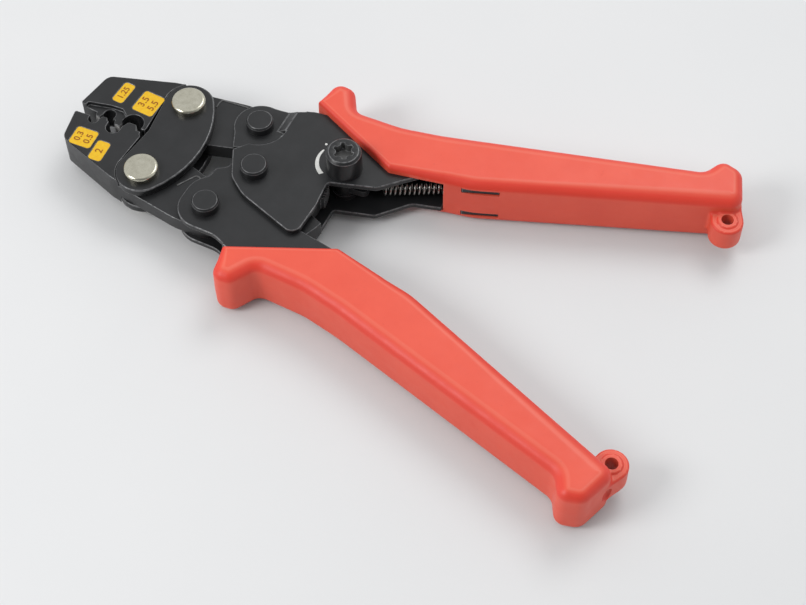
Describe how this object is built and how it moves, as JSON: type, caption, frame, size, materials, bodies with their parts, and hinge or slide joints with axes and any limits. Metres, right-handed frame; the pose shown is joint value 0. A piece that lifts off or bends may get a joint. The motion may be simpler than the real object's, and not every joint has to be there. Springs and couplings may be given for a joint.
{
  "type": "ratchet crimping tool",
  "caption": "Hand crimping tool with hinged jaws between side plates, crossed lever handles, a ratchet with a release knob, and moulded grips.",
  "frame": {"origin": "on the centre pin's axis where the two handles cross, halfway through the tool's thickness", "axes": "+X from the jaws to the grips along the centre line between the handles, +Y towards the handle that carries the release knob, +Z out of the face with the knob"},
  "size_m": [0.2245, 0.1412, 0.0265],
  "materials": {
    "black_steel": "satin black oxide",
    "plated_steel": "nickel plate",
    "bright_steel": "satin",
    "coral_grip": "smooth semi-matte"
  },
  "bodies": {
    "upper_handle": {"upper_frame": "black_steel", "upper_grip": "coral_grip", "centre_pin": "black_steel", "centre_bush": "bright_steel", "upper_tail_pin": "black_steel", "spring_anchor_pin": "bright_steel", "pawl_washers": "bright_steel", "pawl_spring": "bright_steel"},
    "lower_handle": {"lower_frame": "black_steel", "lower_grip": "coral_grip", "ratchet_sector": "bright_steel", "sector_rivets": "black_steel", "lower_tail_pin": "black_steel"},
    "upper_jaw": {"upper_jaw": "black_steel"},
    "lower_jaw": {"lower_jaw": "black_steel"},
    "side_plates": {"side_plate_front": "black_steel", "side_plate_rear": "black_steel", "upper_jaw_pin": "plated_steel", "lower_jaw_pin": "plated_steel"},
    "release_knob": {"release_knob": "black_steel", "pawl_shaft": "bright_steel", "ratchet_pawl": "bright_steel", "shaft_clip": "bright_steel"}
  },
  "joints": [
    {"name": "handle_close", "type": "hinge", "parent": "upper_handle", "child": "lower_handle", "pos_m": [0, 0, 0], "axis": [0, 0, 1], "range_deg": [0, 31]},
    {"name": "upper_jaw_close", "type": "hinge", "parent": "upper_handle", "child": "upper_jaw", "pos_m": [-0.0082, 0.0191, 0], "axis": [0, 0, 1], "range_deg": [0, 18.77]},
    {"name": "lower_jaw_close", "type": "hinge", "parent": "lower_handle", "child": "lower_jaw", "pos_m": [-0.0082, -0.0191, 0], "axis": [0, 0, 1], "range_deg": [-18.77, 0]},
    {"name": "side_plate_swing", "type": "hinge", "parent": "upper_jaw", "child": "side_plates", "pos_m": [-0.0346, 0.0162, 0], "axis": [0, 0, 1], "range_deg": [-3.27, 0]},
    {"name": "knob_turn", "type": "hinge", "parent": "upper_handle", "child": "release_knob", "pos_m": [0.027, 0.0139, 0], "axis": [0, 0, 1], "range_deg": [0, 64], "deforming": ["pawl_spring"]}
  ],
  "couplings": [
    {"joint": "upper_jaw_close", "follows": "handle_close", "ratio": 0.60517},
    {"joint": "lower_jaw_close", "follows": "handle_close", "ratio": -0.60517},
    {"joint": "side_plate_swing", "follows": "handle_close", "ratio": -0.10517}
  ]
}
